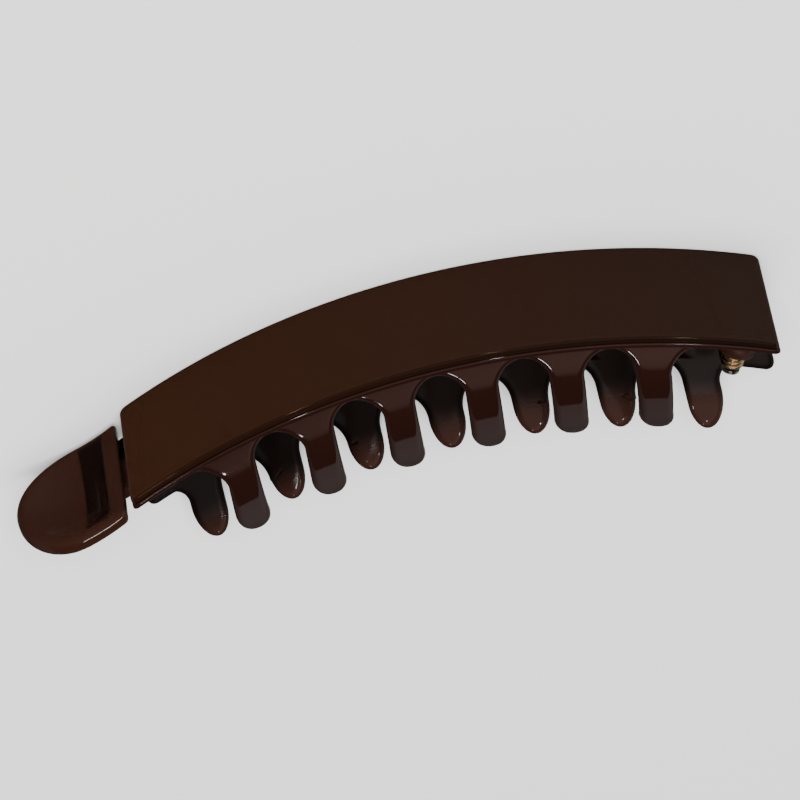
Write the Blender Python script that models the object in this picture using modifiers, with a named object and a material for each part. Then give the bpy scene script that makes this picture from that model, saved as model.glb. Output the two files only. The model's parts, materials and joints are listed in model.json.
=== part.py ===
# Banana hair clip, closed, lying on its rear side.
# The clip is designed in its own terms and then placed by one function:
#   x runs along the clip from the thumb lever to the hinge, 0 at the middle of the plate,
#   rise is height above the plate's chord, so the plate's top follows an arch,
#   across runs from the front edge (negative) to the rear edge (positive).
# In the file's frame x stays X, rise is +Y, and across points down, so the rear edge lies at Z = 0.

from math import asin, cos, pi, radians, sin, sqrt

import bmesh
import bpy
from mathutils import Matrix, Vector

MM = 0.001

# Driving sizes, in millimetres and degrees
CHORD = 115.0              # the plate's length, straight from end to end
WIDTH = 24.9               # the plate's width
ARCH_RADIUS = 127.0        # of the plate's top surface
PLATE_THICK = 1.3
SEAM = 0.3                 # between the plate and the strip that it is glued to
STRIP_THICK = 1.0
EDGE_ROUND = 0.25
RUNNING_GAP = 0.6          # between the strip and the rear jaw that swings under it

WALL_THICK = 2.2
WALL_ROOT_IN = 1.75        # how far the wall's root stands in from its belly
BELLY_DEPTH = 9.0          # below the plate's top surface
TIP_ACROSS = 1.3           # middle of the wall at the tooth tips, from the mid plane
FRONT_TIP_DEPTH = 29.1     # of the front tooth tips at x = 0
REAR_TIP_DEPTH = 31.2      # of the rear tooth tips at x = 0
TIP_SLOPE = 0.025          # the tips lie deeper towards the hinge
CURL_POWER = 1.9           # how late the wall turns in towards the mid plane

FRONT_TEETH = 6
FRONT_FIRST = -38.3        # x of the first front tooth's tip
FRONT_PITCH = 14.45
FRONT_TOOTH = 6.0          # a tooth's width where its tip starts to taper
FRONT_TAPER = 7.5          # length of the tapered tip
FRONT_ARCH_FIRST = -45.0   # x of the first round top's centre
FRONT_ARCH_PITCH = 14.62
FRONT_ARCH_RADIUS = 4.4    # of the round top between two teeth
FRONT_ARCH_DEPTH = 4.2
FRONT_WALL_END = 47.4      # half length of the front wall at its root

REAR_TEETH = 7
REAR_FIRST = -46.7
REAR_PITCH = 14.9
REAR_TOOTH = 6.4
REAR_TAPER = 4.2
REAR_BAR_DEPTH = 21.8      # lower edge of the closed rear wall, at x = 0
REAR_BAR_SLOPE = 0.023
REAR_LEFT = -57.3
REAR_RIGHT = 56.0
REAR_CORNER = 2.0
ROOT_BAR_THICK = 2.0       # ledge along the top of the rear wall
ROOT_BAR_INNER = 5.0       # its inner edge, from the mid plane
ROOT_BAR_OUTER = 11.0

HINGE_X = 54.0
HINGE_ACROSS = -3.0
PIN_RADIUS = 0.8
PIN_CLEARANCE = 0.3
PIN_HEAD_RADIUS = 1.7
PIN_HEAD_THICK = 0.7
BORE_MARGIN = 1.0          # the bores run this far past what they go through
LUG_RADIUS = 3.3
LUG_THICK = 6.5
SPRING_WIRE = 0.86         # diameter of the spring's wire
SPRING_RADIUS = 1.6        # middle of the wire, from the pin's axis
SPRING_TURNS = 2.5
SPRING_LEG = 4.5

LEVER_TIP = -79.0          # x of the lever's round end
LEVER_ROOT_GAP = 1.3       # from the plate's end, so that the lever can swing
LEVER_HALF_WIDTH = 12.1
LEVER_RIM_START = -1.9     # rise of the lever's rim beside the plate
LEVER_RIM_END = -7.4       # rise of the rim at the lever's round end
LEVER_RIM_POWER = 2.2      # how soon the rim levels out
LEVER_THICK = 3.2
LEVER_TIP_ROUND = 1.5
SCOOP_RIM = 1.3            # width of the rim round the scoop
SCOOP_DEPTH = 1.5          # below the rim, at the lever's middle
SCOOP_ROOT_WALL = 1.6      # wall left between the scoop and the plate's end
SCOOP_LIFT = 0.5           # of the bowl's widest level above the rim, at the lever's middle
SCOOP_STRETCH = 4.0
SCOOP_TILT = 10.0          # the bowl leans with the lever's slope
NECK_HALF_WIDTH = 9.5
NECK_END = -48.0
NECK_THICK = 3.4

# Facets
STATIONS = 44              # along an arched piece
WALL_STEPS = 12            # down a wall
ARC_STEPS = 10             # on a half circle
ROUND_SIDES = 16
OVERLAP = 0.4              # of two solids that are joined into one
SLOPE_STEP = 0.05          # for the slope of the walls
SMOOTH_ANGLE = 35.0        # facets meeting at less than this are shaded smooth

# Colours, linear
BROWN = (0.030, 0.013, 0.008, 1.0)
GOLD = (0.60, 0.43, 0.20, 1.0)
STEEL = (0.45, 0.44, 0.42, 1.0)


# Placing

def arch(x):
    """Rise of the plate's top surface above its chord."""
    half_chord = CHORD / 2
    return sqrt(ARCH_RADIUS ** 2 - x ** 2) - sqrt(ARCH_RADIUS ** 2 - half_chord ** 2)


def tip_depth(x, middle):
    """Depth of a tooth's tip below the plate's top surface, from that at the clip's middle."""
    return middle + TIP_SLOPE * x


LAST_REAR = REAR_FIRST + (REAR_TEETH - 1) * REAR_PITCH
LOWEST_RISE = min(arch(x) - tip_depth(x, REAR_TIP_DEPTH) for x in (REAR_FIRST, LAST_REAR))
SHIFT_X = -(LEVER_TIP + CHORD / 2) / 2
SHIFT_Y = -(arch(0.0) + LOWEST_RISE) / 2
STRIP_TOP = PLATE_THICK + SEAM
STRIP_BOTTOM = STRIP_TOP + STRIP_THICK
REAR_TOP = STRIP_BOTTOM + RUNNING_GAP
HINGE_ANGLE = asin(HINGE_X / ARCH_RADIUS)
BELLY_MIDDLE = WIDTH / 2 - WALL_THICK / 2


def place(x, rise, across):
    """A point of the clip in the file's frame, in metres."""
    return Vector((x + SHIFT_X, rise + SHIFT_Y, WIDTH / 2 - across)) * MM


def hinge_matrix():
    """Frame on the hinge: its Y runs up along the pin, its Z forward across the clip."""
    point = place(HINGE_X, arch(HINGE_X), HINGE_ACROSS)
    return Matrix.Translation(point) @ Matrix.Rotation(-HINGE_ANGLE, 4, "Z")


# Scene helpers

def clear_scene():
    for item in list(bpy.data.objects):
        bpy.data.objects.remove(item, do_unlink=True)


def new_collection(name):
    collection = bpy.data.collections.new(name)
    bpy.context.scene.collection.children.link(collection)
    return collection


def plastic(name, colour, roughness, metallic):
    material = bpy.data.materials.new(name)
    material.use_nodes = True
    shader = material.node_tree.nodes["Principled BSDF"]
    shader.inputs["Base Color"].default_value = colour
    shader.inputs["Roughness"].default_value = roughness
    shader.inputs["Metallic"].default_value = metallic
    return material


def mesh_object(name, mesh, collection):
    item = bpy.data.objects.new(name, mesh)
    collection.objects.link(item)
    return item


def finish_mesh(mesh):
    """Close the seams and turn every face outwards."""
    work = bmesh.new()
    work.from_mesh(mesh)
    bmesh.ops.remove_doubles(work, verts=work.verts, dist=1e-6)
    bmesh.ops.recalc_face_normals(work, faces=work.faces)
    work.to_mesh(mesh)
    work.free()


def swept(name, section, x_start, x_end, collection):
    """Carry a closed section of (depth, across) pairs along the arch, square to the chord."""
    count = len(section)
    points = []
    for step in range(STATIONS + 1):
        x = x_start + (x_end - x_start) * step / STATIONS
        points += [place(x, arch(x) - depth, across) for depth, across in section]
    faces = []
    for step in range(STATIONS):
        for side in range(count):
            after = (side + 1) % count
            near = step * count
            far = near + count
            faces.append((near + side, near + after, far + after, far + side))
    faces.append(tuple(range(count)))
    faces.append(tuple(range(STATIONS * count, (STATIONS + 1) * count)))
    mesh = bpy.data.meshes.new(name)
    mesh.from_pydata(points, [], faces)
    finish_mesh(mesh)
    return mesh_object(name, mesh, collection)


def flat_solid(name, outline, half_thick, matrix, collection):
    """Fill an outline of (u, v) millimetres and extrude it both ways, as a mesh."""
    curve = bpy.data.curves.new(name, "CURVE")
    curve.dimensions = "2D"
    curve.fill_mode = "BOTH"
    curve.extrude = half_thick * MM
    spline = curve.splines.new("POLY")
    spline.points.add(len(outline) - 1)
    for point, (u, v) in zip(spline.points, outline):
        point.co = (u * MM, v * MM, 0.0, 1.0)
    spline.use_cyclic_u = True
    return curve_to_mesh(name, curve, matrix, collection)


def curve_to_mesh(name, curve, matrix, collection):
    """Make a curve a closed mesh, with its place applied."""
    source = bpy.data.objects.new(name + "_curve", curve)
    collection.objects.link(source)
    source.matrix_world = matrix
    bpy.context.view_layer.update()
    evaluated = source.evaluated_get(bpy.context.evaluated_depsgraph_get())
    mesh = bpy.data.meshes.new_from_object(evaluated)
    mesh.transform(source.matrix_world)
    bpy.data.objects.remove(source, do_unlink=True)
    finish_mesh(mesh)
    return mesh_object(name, mesh, collection)


def side_matrix():
    """Outlines drawn in (x, rise) stand on the clip's mid plane."""
    return Matrix.Translation(place(0.0, 0.0, 0.0))


def cylinder(name, radius, depth_top, depth_end, collection, sides=ROUND_SIDES):
    """A round solid on the hinge's axis, between two depths below the plate's top."""
    length = depth_end - depth_top
    bpy.ops.mesh.primitive_cylinder_add(vertices=sides, radius=radius * MM, depth=length * MM)
    item = bpy.context.active_object
    item.name = name
    for owner in list(item.users_collection):
        owner.objects.unlink(item)
    collection.objects.link(item)
    middle = Matrix.Translation((0.0, -(depth_top + depth_end) / 2 * MM, 0.0))
    item.data.transform(hinge_matrix() @ middle @ Matrix.Rotation(pi / 2, 4, "X"))
    return item


def combine(item, other, operation):
    """Join, cut or keep what is shared, with an exact Boolean."""
    modifier = item.modifiers.new(operation.lower() + "_" + other.name, "BOOLEAN")
    modifier.operation = operation
    modifier.solver = "EXACT"
    modifier.object = other
    other.hide_render = True
    other.display_type = "WIRE"


# Outlines

def wall_middle(depth, end):
    """Distance of a wall's middle from the mid plane, at a depth, for a wall whose tips are at the depth end."""
    if depth <= BELLY_DEPTH:
        share = (BELLY_DEPTH - depth) / (BELLY_DEPTH - STRIP_BOTTOM)
        return BELLY_MIDDLE - WALL_ROOT_IN * share ** 2
    share = (depth - BELLY_DEPTH) / (end - BELLY_DEPTH)
    return BELLY_MIDDLE - (BELLY_MIDDLE - TIP_ACROSS) * share ** CURL_POWER


def wall_section(side, top, end):
    """Closed section of a wall: down its outer face and up its inner face."""
    bottom = tip_depth(CHORD / 2, end) + OVERLAP
    outer = []
    inner = []
    for step in range(WALL_STEPS + 1):
        depth = top + (bottom - top) * step / WALL_STEPS
        slope = (wall_middle(depth + SLOPE_STEP, end) - wall_middle(depth - SLOPE_STEP, end)) / (2 * SLOPE_STEP)
        stretch = sqrt(1.0 + slope ** 2)
        half = WALL_THICK / 2
        middle = wall_middle(depth, end)
        outer.append((depth + slope * -half / stretch, side * (middle + half / stretch)))
        inner.append((depth + slope * half / stretch, side * (middle - half / stretch)))
    return outer + inner[::-1]


def arc(x, rise, radius, start, end, steps=ARC_STEPS, tall=None):
    """Points on an arc, with angles in degrees from +x towards +rise; tall is the half height of an oval one."""
    angles = [radians(start + (end - start) * step / steps) for step in range(steps + 1)]
    height = radius if tall is None else tall
    return [(x + radius * cos(angle), rise + height * sin(angle)) for angle in angles]


def tooth_tip(x, width, taper, end):
    """Half an oval down to the tip."""
    return arc(x, arch(x) - tip_depth(x, end) + taper, width / 2, 180.0, 360.0, ARC_STEPS, taper)


def arch_top(x, depth, radius, start=180.0, end=0.0):
    return arc(x, arch(x) - depth - radius, radius, start, end)


def top_edge(x_start, x_end, depth):
    """Points along the arch at a depth, from x_start to x_end."""
    xs = [x_start + (x_end - x_start) * step / STATIONS for step in range(STATIONS + 1)]
    return [(x, arch(x) - depth) for x in xs]


def front_outline():
    """The comb of the front wall: round arches between round teeth, open arches at both ends."""
    top = STRIP_BOTTOM - OVERLAP
    outline = [(-FRONT_WALL_END, arch(FRONT_WALL_END) - STRIP_BOTTOM)]
    for index in range(FRONT_TEETH + 1):
        x_arch = FRONT_ARCH_FIRST + index * FRONT_ARCH_PITCH
        start = 120.0 if index == 0 else 180.0
        end = 60.0 if index == FRONT_TEETH else 0.0
        outline += arch_top(x_arch, FRONT_ARCH_DEPTH, FRONT_ARCH_RADIUS, start, end)
        if index < FRONT_TEETH:
            outline += tooth_tip(FRONT_FIRST + index * FRONT_PITCH, FRONT_TOOTH, FRONT_TAPER, FRONT_TIP_DEPTH)
    outline.append((FRONT_WALL_END, arch(FRONT_WALL_END) - STRIP_BOTTOM))
    return outline + top_edge(FRONT_WALL_END, -FRONT_WALL_END, top)


def bar_depth(x):
    return REAR_BAR_DEPTH + REAR_BAR_SLOPE * x


def rear_outline():
    """The comb of the rear wall: closed down to its bar, with short teeth below."""
    radius = (REAR_PITCH - REAR_TOOTH) / 2
    left = REAR_LEFT + REAR_CORNER
    right = REAR_RIGHT - REAR_CORNER
    left_low = arch(left) - bar_depth(left) + REAR_CORNER
    right_low = arch(right) - bar_depth(right) + REAR_CORNER
    outline = arc(left, left_low, REAR_CORNER, 180.0, 270.0, 4)
    for index in range(REAR_TEETH):
        x = REAR_FIRST + index * REAR_PITCH
        if index == 0:
            corner = x - REAR_TOOTH / 2 - REAR_CORNER
            outline += arc(corner, arch(corner) - bar_depth(corner) - REAR_CORNER, REAR_CORNER, 90.0, 0.0, 4)
        outline += tooth_tip(x, REAR_TOOTH, REAR_TAPER, REAR_TIP_DEPTH)
        if index < REAR_TEETH - 1:
            x_arch = x + REAR_PITCH / 2
            outline += arch_top(x_arch, bar_depth(x_arch), radius)
        else:
            corner = x + REAR_TOOTH / 2 + REAR_CORNER
            outline += arc(corner, arch(corner) - bar_depth(corner) - REAR_CORNER, REAR_CORNER, 180.0, 90.0, 4)
    outline += arc(right, right_low, REAR_CORNER, 270.0, 360.0, 4)
    return outline + top_edge(REAR_RIGHT, REAR_LEFT, REAR_TOP)


def lever_rim(x):
    """Rise of the lever's rim: it goes on down the arch and levels out at its round end."""
    root = -CHORD / 2 - LEVER_ROOT_GAP
    share = (root - x) / (root - LEVER_TIP)
    drop = LEVER_RIM_START - LEVER_RIM_END
    return LEVER_RIM_END + drop * (1.0 - share) ** LEVER_RIM_POWER


def lever_side():
    """Side outline of the lever and its neck under the strip."""
    root = -CHORD / 2 - LEVER_ROOT_GAP
    steps = 14
    start = LEVER_TIP + LEVER_TIP_ROUND
    xs = [start + (root - start) * step / steps for step in range(steps + 1)]
    upper = [(x, lever_rim(x)) for x in xs]
    lower = [(x, lever_rim(x) - LEVER_THICK) for x in xs[:-3]]
    nose_rise = lever_rim(start) - LEVER_TIP_ROUND
    nose = arc(start, nose_rise, LEVER_TIP_ROUND, 180.0, 100.0, 5)
    neck_xs = [root + (NECK_END - root) * step / 6 for step in range(7)]
    neck_top = [(x, arch(x) - REAR_TOP) for x in neck_xs]
    neck_low = [(x, arch(x) - REAR_TOP - NECK_THICK) for x in neck_xs[1:]]
    return nose + upper[1:] + neck_top + neck_low[::-1] + lower[::-1]


def lever_plan():
    """Plan outline of the lever in (x, across): straight sides and a round end."""
    centre = LEVER_TIP + LEVER_HALF_WIDTH
    root = -CHORD / 2 - LEVER_ROOT_GAP
    end = arc(centre, 0.0, LEVER_HALF_WIDTH, 270.0, 90.0, 24)
    neck = [(root, LEVER_HALF_WIDTH), (root + 0.01, NECK_HALF_WIDTH)]
    neck += [(NECK_END, NECK_HALF_WIDTH), (NECK_END, -NECK_HALF_WIDTH)]
    neck += [(root + 0.01, -NECK_HALF_WIDTH), (root, -LEVER_HALF_WIDTH)]
    return end + neck


# Sub-parts

def make_top_plate(parts):
    half = WIDTH / 2
    section = [(0.0, -half), (0.0, half), (PLATE_THICK, half), (PLATE_THICK, -half)]
    plate = swept("top_plate", section, -CHORD / 2, CHORD / 2, parts)
    bevel = plate.modifiers.new("rounded_edges", "BEVEL")
    bevel.width = EDGE_ROUND * MM
    bevel.segments = 2
    bevel.limit_method = "ANGLE"
    bevel.angle_limit = radians(60.0)
    return plate


def make_front_jaw(parts, cutters):
    half = WIDTH / 2
    section = [(STRIP_TOP, -half), (STRIP_TOP, half), (STRIP_BOTTOM, half), (STRIP_BOTTOM, -half)]
    jaw = swept("front_jaw", section, -CHORD / 2, CHORD / 2, parts)
    top = STRIP_BOTTOM - OVERLAP
    wall = swept("front_wall", wall_section(-1.0, top, FRONT_TIP_DEPTH), -FRONT_WALL_END, FRONT_WALL_END, cutters)
    comb = flat_solid("front_comb", front_outline(), WIDTH, side_matrix(), cutters)
    bore = cylinder("strip_bore", PIN_RADIUS + PIN_CLEARANCE, OVERLAP, STRIP_BOTTOM + BORE_MARGIN, cutters)
    combine(wall, comb, "INTERSECT")
    combine(jaw, wall, "UNION")
    combine(jaw, bore, "DIFFERENCE")
    return jaw


def lug_outline():
    """Round front end about the pin, and straight sides back into the rear wall."""
    back = ROOT_BAR_OUTER - HINGE_ACROSS - 1.0
    front = arc(0.0, 0.0, LUG_RADIUS, 0.0, 180.0)
    return front + [(-LUG_RADIUS, -back), (LUG_RADIUS, -back)]


def make_lever(cutters):
    side = flat_solid("lever_side", lever_side(), LEVER_HALF_WIDTH + 1.0, side_matrix(), cutters)
    upright = Matrix.Translation(place(0.0, 0.0, 0.0)) @ Matrix.Rotation(pi / 2, 4, "X")
    plan = flat_solid("lever_plan", lever_plan(), -LEVER_TIP / 2, upright, cutters)
    combine(side, plan, "INTERSECT")
    combine(side, make_scoop(cutters), "DIFFERENCE")
    return side


def make_scoop(cutters):
    """The lever's bowl: half an ellipsoid below, drawn out upwards so that nothing overhangs it."""
    bpy.ops.mesh.primitive_uv_sphere_add(segments=28, ring_count=14, radius=1.0)
    scoop = bpy.context.active_object
    scoop.name = "lever_scoop"
    for owner in list(scoop.users_collection):
        owner.objects.unlink(scoop)
    cutters.objects.link(scoop)
    for vertex in scoop.data.vertices:
        if vertex.co.y > 0.0:
            vertex.co.y *= SCOOP_STRETCH
    root = -CHORD / 2 - LEVER_ROOT_GAP - SCOOP_ROOT_WALL
    tip = LEVER_TIP + SCOOP_RIM
    middle = (root + tip) / 2
    size = Matrix.Diagonal((
        (root - tip) / 2 * MM,
        (SCOOP_DEPTH + SCOOP_LIFT) * MM,
        (LEVER_HALF_WIDTH - SCOOP_RIM) * MM,
        1.0,
    ))
    spot = Matrix.Translation(place(middle, lever_rim(middle) + SCOOP_LIFT, 0.0))
    scoop.data.transform(spot @ Matrix.Rotation(radians(SCOOP_TILT), 4, "Z") @ size)
    return scoop


def make_rear_jaw(parts, cutters):
    jaw = swept("rear_jaw", wall_section(1.0, REAR_TOP, REAR_TIP_DEPTH), REAR_LEFT, REAR_RIGHT, parts)
    comb = flat_solid("rear_comb", rear_outline(), WIDTH, side_matrix(), cutters)
    low = REAR_TOP + ROOT_BAR_THICK
    ledge = [(REAR_TOP, ROOT_BAR_INNER), (REAR_TOP, ROOT_BAR_OUTER), (low, ROOT_BAR_OUTER), (low, ROOT_BAR_INNER)]
    bar = swept("root_bar", ledge, REAR_LEFT + OVERLAP, REAR_RIGHT - OVERLAP, cutters)
    lug_top = REAR_TOP * cos(HINGE_ANGLE)
    flat = Matrix.Translation((0.0, -(lug_top + LUG_THICK / 2) * MM, 0.0)) @ Matrix.Rotation(pi / 2, 4, "X")
    lug = flat_solid("hinge_lug", lug_outline(), LUG_THICK / 2, hinge_matrix() @ flat, cutters)
    bore = cylinder("lug_bore", PIN_RADIUS + PIN_CLEARANCE, OVERLAP, lug_top + LUG_THICK + BORE_MARGIN, cutters)
    combine(jaw, comb, "INTERSECT")
    combine(bar, lug, "UNION")
    combine(jaw, bar, "UNION")
    combine(jaw, make_lever(cutters), "UNION")
    combine(jaw, bore, "DIFFERENCE")
    return jaw


def make_hinge_pin(parts, cutters):
    lug_end = REAR_TOP * cos(HINGE_ANGLE) + LUG_THICK
    coil_end = lug_end + PIN_CLEARANCE + SPRING_WIRE * (SPRING_TURNS + 1.0)
    head_top = coil_end + PIN_CLEARANCE
    pin = cylinder("hinge_pin", PIN_RADIUS, STRIP_TOP * cos(HINGE_ANGLE) + 0.1, head_top + OVERLAP, parts)
    head = cylinder("pin_head", PIN_HEAD_RADIUS, head_top, head_top + PIN_HEAD_THICK, cutters)
    combine(pin, head, "UNION")
    return pin


def make_torsion_spring(parts):
    """A helix round the pin between the lug and the pin's head, with two straight legs."""
    start = REAR_TOP * cos(HINGE_ANGLE) + LUG_THICK + PIN_CLEARANCE + SPRING_WIRE / 2
    pitch = SPRING_WIRE * 1.02
    steps = int(12 * SPRING_TURNS)
    points = []
    for step in range(steps + 1):
        angle = 2 * pi * SPRING_TURNS * step / steps
        depth = start + pitch * SPRING_TURNS * step / steps
        points.append(Vector((SPRING_RADIUS * cos(angle), -depth, SPRING_RADIUS * sin(angle))))
    first = points[0] + Vector((0.0, 0.0, -SPRING_LEG))
    last = points[-1] + Vector((0.0, 0.0, -SPRING_LEG))
    points = [first] + points + [last]
    curve = bpy.data.curves.new("torsion_spring", "CURVE")
    curve.dimensions = "3D"
    curve.bevel_depth = SPRING_WIRE / 2 * MM
    curve.bevel_resolution = 2
    curve.use_fill_caps = True
    spline = curve.splines.new("POLY")
    spline.points.add(len(points) - 1)
    for target, point in zip(spline.points, points):
        target.co = (*(point * MM), 1.0)
    return curve_to_mesh("torsion_spring", curve, hinge_matrix(), parts)


def main():
    clear_scene()
    parts = new_collection("banana_hair_clip")
    cutters = new_collection("banana_hair_clip_cutters")
    pivot = bpy.data.objects.new("cover_pivot", None)
    parts.objects.link(pivot)
    pivot.matrix_world = hinge_matrix()
    bpy.context.view_layer.update()

    plate = make_top_plate(parts)
    front = make_front_jaw(parts, cutters)
    rear = make_rear_jaw(parts, cutters)
    pin = make_hinge_pin(parts, cutters)
    spring = make_torsion_spring(parts)

    for item in (plate, front, pin):
        item.parent = pivot
        item.matrix_parent_inverse = pivot.matrix_world.inverted()
    finishes = (
        (plate, plastic("plate_brown", BROWN, 0.12, 0.0)),
        (front, plastic("front_jaw_brown", BROWN, 0.15, 0.0)),
        (rear, plastic("rear_jaw_brown", BROWN, 0.15, 0.0)),
        (pin, plastic("pin_steel", STEEL, 0.30, 1.0)),
        (spring, plastic("spring_gold", GOLD, 0.22, 1.0)),
    )
    for item, material in finishes:
        item.data.materials.clear()
        item.data.materials.append(material)
        item.data.shade_smooth()
        item.data.set_sharp_from_angle(angle=radians(SMOOTH_ANGLE))


if __name__ == "__main__":
    main()
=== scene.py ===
import json
from math import cos, pi, radians, sin

import bmesh
import bpy
import numpy as np
from mathutils import Matrix, Vector


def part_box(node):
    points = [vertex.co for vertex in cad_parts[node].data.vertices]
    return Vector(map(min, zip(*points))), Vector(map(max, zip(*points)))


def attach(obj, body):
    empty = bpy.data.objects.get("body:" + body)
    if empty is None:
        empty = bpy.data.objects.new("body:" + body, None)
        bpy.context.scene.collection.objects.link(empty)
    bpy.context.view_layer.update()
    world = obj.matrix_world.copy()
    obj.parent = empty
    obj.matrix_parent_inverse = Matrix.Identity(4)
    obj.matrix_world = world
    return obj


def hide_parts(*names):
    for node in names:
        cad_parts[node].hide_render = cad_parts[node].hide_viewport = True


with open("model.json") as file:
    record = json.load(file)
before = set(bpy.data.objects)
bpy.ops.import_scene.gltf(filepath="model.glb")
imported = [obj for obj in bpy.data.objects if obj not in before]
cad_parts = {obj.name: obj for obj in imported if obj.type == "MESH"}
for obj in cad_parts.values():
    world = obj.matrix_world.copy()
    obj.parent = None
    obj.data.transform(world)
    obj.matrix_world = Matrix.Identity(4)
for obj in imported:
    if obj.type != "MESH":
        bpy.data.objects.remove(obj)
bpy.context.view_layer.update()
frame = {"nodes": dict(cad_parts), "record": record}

bl_info = {
    "name": "Banana hair clip",
    "version": (1, 0, 0),
    "blender": (4, 5, 0),
    "location": "3D View > Sidebar > Hair clip",
    "description": "Polished surfaces and finishes of an arched banana hair clip",
    "category": "Object",
}

PLATE_LOW, PLATE_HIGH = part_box("top_plate")
REAR_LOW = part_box("rear_jaw")[0]
HINGE = frame["record"]["behaviour"]["joints"][0]

# The clip's own terms: x runs from the lever to the hinge with 0 at the middle of the plate, rise is
# height above the plate's chord, depth is measured down from the plate's top surface, and across runs
# from the front edge (negative) to the rear edge (positive). All lengths are in metres.
CHORD = PLATE_HIGH.x - PLATE_LOW.x
WIDTH = PLATE_HIGH.z - PLATE_LOW.z
MIDDLE_X = (PLATE_LOW.x + PLATE_HIGH.x) / 2
MIDDLE_Z = (PLATE_LOW.z + PLATE_HIGH.z) / 2
LEVER_TIP = REAR_LOW.x - MIDDLE_X

# The lever: the scoop's curve, the lip round it, how much less its root is rounded below, its root's corners
SCOOP_POWER = 2.2
RIM_LIP = 0.00012
ROOT_SHARE = 0.5
ROOT_CORNER = 0.0009
LEAST_CORNER = 0.0004

# How far joined forms run into each other, and the least share of a wall's thickness at its round end
ROOT_OVERLAP = 0.0003
NECK_OVERLAP = 0.001
LEDGE_INSET = 0.0005
THIN_END = 0.0004

# The coil: space between turns in wires, and points in one turn
COIL_SPACE = 1.02
TURN_STEPS = 48

MERGE = 1e-6
BEYOND = 1.0
WHITE = (1.0, 1.0, 1.0)

# The handled polish: noise scales in waves per metre, and the part of the noise that makes hairlines
DRIFT_SCALE = 45.0
DRIFT_DETAIL = 3.0
HAIRLINE_STRETCH = (60.0, 900.0, 500.0)
HAIRLINE_TURN = (0.3, 0.2, 0.35)
HAIRLINE_SCALE = 4.0
HAIRLINE_DETAIL = 4.0
HAIRLINE_EDGES = (0.58, 0.75)
WAVE_SCALE = 160.0
WAVE_DETAIL = 1.0
WAVE_HEIGHT = 0.0001

# The painted shade: how far a face must look up to count as upper, and the softness of its side edges
LEVEL_FACE = 0.3
REACH_SOFT = 0.0005

# Lights: name, place, (width, height), power in watts
SOFT_LIGHTS = (
    ("overhead_softbox", (0.0, 0.05, 0.9), (0.7, 0.5), 8.5),
    ("behind_camera", (0.1, 0.7, 0.9), (0.5, 0.4), 9.5),
)
SPARKLE_LIGHTS = (
    ("window", (-0.30, -0.35, 0.95), (0.05, 0.10), 0.6),
    ("lamp_left", (-0.28, 0.45, 0.75), (0.03, 0.03), 0.5),
    ("lamp_right", (0.35, 0.30, 0.85), (0.03, 0.03), 0.5),
    ("lamp_low", (0.10, 0.90, 0.35), (0.03, 0.03), 0.5),
)

# What the gloss mirrors, by height: (0 down to 1 up, brightness, warmth)
BEHIND_CLIP = ((0.0, 0.30, 0.3), (0.15, 0.30, 0.3), (0.21, 0.07, 0.4), (0.26, 0.07, 0.4), (0.5, 0.20, 0.2),
               (0.62, 0.26, 0.2), (0.635, 0.004, 0.0),
               (0.93, 0.006, 0.0), (0.965, 0.42, 1.0), (0.993, 0.48, 1.0))
BEFORE_CLIP = ((0.0, 0.04, 1.0), (0.10, 0.06, 0.8), (0.16, 0.10, 0.3), (0.50, 0.14, 0.3), (0.75, 0.18, 0.6),
               (1.0, 0.46, 1.0))
WARM_GREEN = 0.28
WARM_BLUE = 0.36
WALLS_MEET = (0.42, 0.58)
SIDE_SPAN = 0.5
LEVER_SIDE = 0.5
HINGE_SIDE = 1.8
EVEN_LIGHT = (0.52, 0.515, 0.51)
FLOOR_RADIUS = 1.5
AIM = (0.0, 0.0, 0.01)

PHOTO_SIDE = 800
SENSOR = 36.0


def length(name, description, default):
    return bpy.props.FloatProperty(
        name=name, description=description, default=default, unit="LENGTH", precision=5
    )


def angle(name, description, degrees):
    return bpy.props.FloatProperty(
        name=name, description=description, default=radians(degrees), unit="ROTATION"
    )


def number(name, description, default):
    return bpy.props.FloatProperty(name=name, description=description, default=default)


def how_many(name, description, default):
    return bpy.props.IntProperty(name=name, description=description, default=default, min=1)


def colour(name, description, default):
    return bpy.props.FloatVectorProperty(
        name=name, description=description, default=default, size=3, subtype="COLOR", min=0.0, max=1.0
    )


class CoverSizes(bpy.types.PropertyGroup):
    """Sizes of the cover plate and of the strip that it is glued to."""

    arch_radius: length("Arch radius", "Radius of the plate's top surface", 0.127)
    plate_thick: length("Plate thickness", "Thickness of the cover plate", 0.0013)
    strip_top: length("Strip top", "Depth of the strip's top face, just under the seam", 0.00148)
    strip_bottom: length("Strip underside", "Depth of the strip's underside", 0.0026)
    edge_round: length("Edge rounding", "Rounding of the plate's long edges", 0.00035)
    corner_round: length("Corner rounding", "Rounding of the plate's four corners, in plan", 0.0012)


class WallSizes(bpy.types.PropertyGroup):
    """The curve that both combs follow, from the plate down to the tooth tips."""

    half_thick: length("Half thickness", "Half the thickness of a comb's wall", 0.0011)
    root_in: length("Root inset", "How far the wall's root stands in from its belly", 0.00175)
    belly_depth: length("Belly depth", "Depth at which the wall stands furthest out", 0.009)
    tip_across: length("Tip offset", "Distance of the tooth tips from the mid plane", 0.0013)
    front_tips: length("Front tip depth", "Depth of the front tooth tips at the middle of the clip", 0.0291)
    rear_tips: length("Rear tip depth", "Depth of the rear tooth tips at the middle of the clip", 0.031)
    tip_slope: number("Tip slope", "How much deeper the tips lie towards the hinge", 0.025)
    curl_power: number("Curl", "How late the wall turns in towards the mid plane", 1.9)


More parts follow.
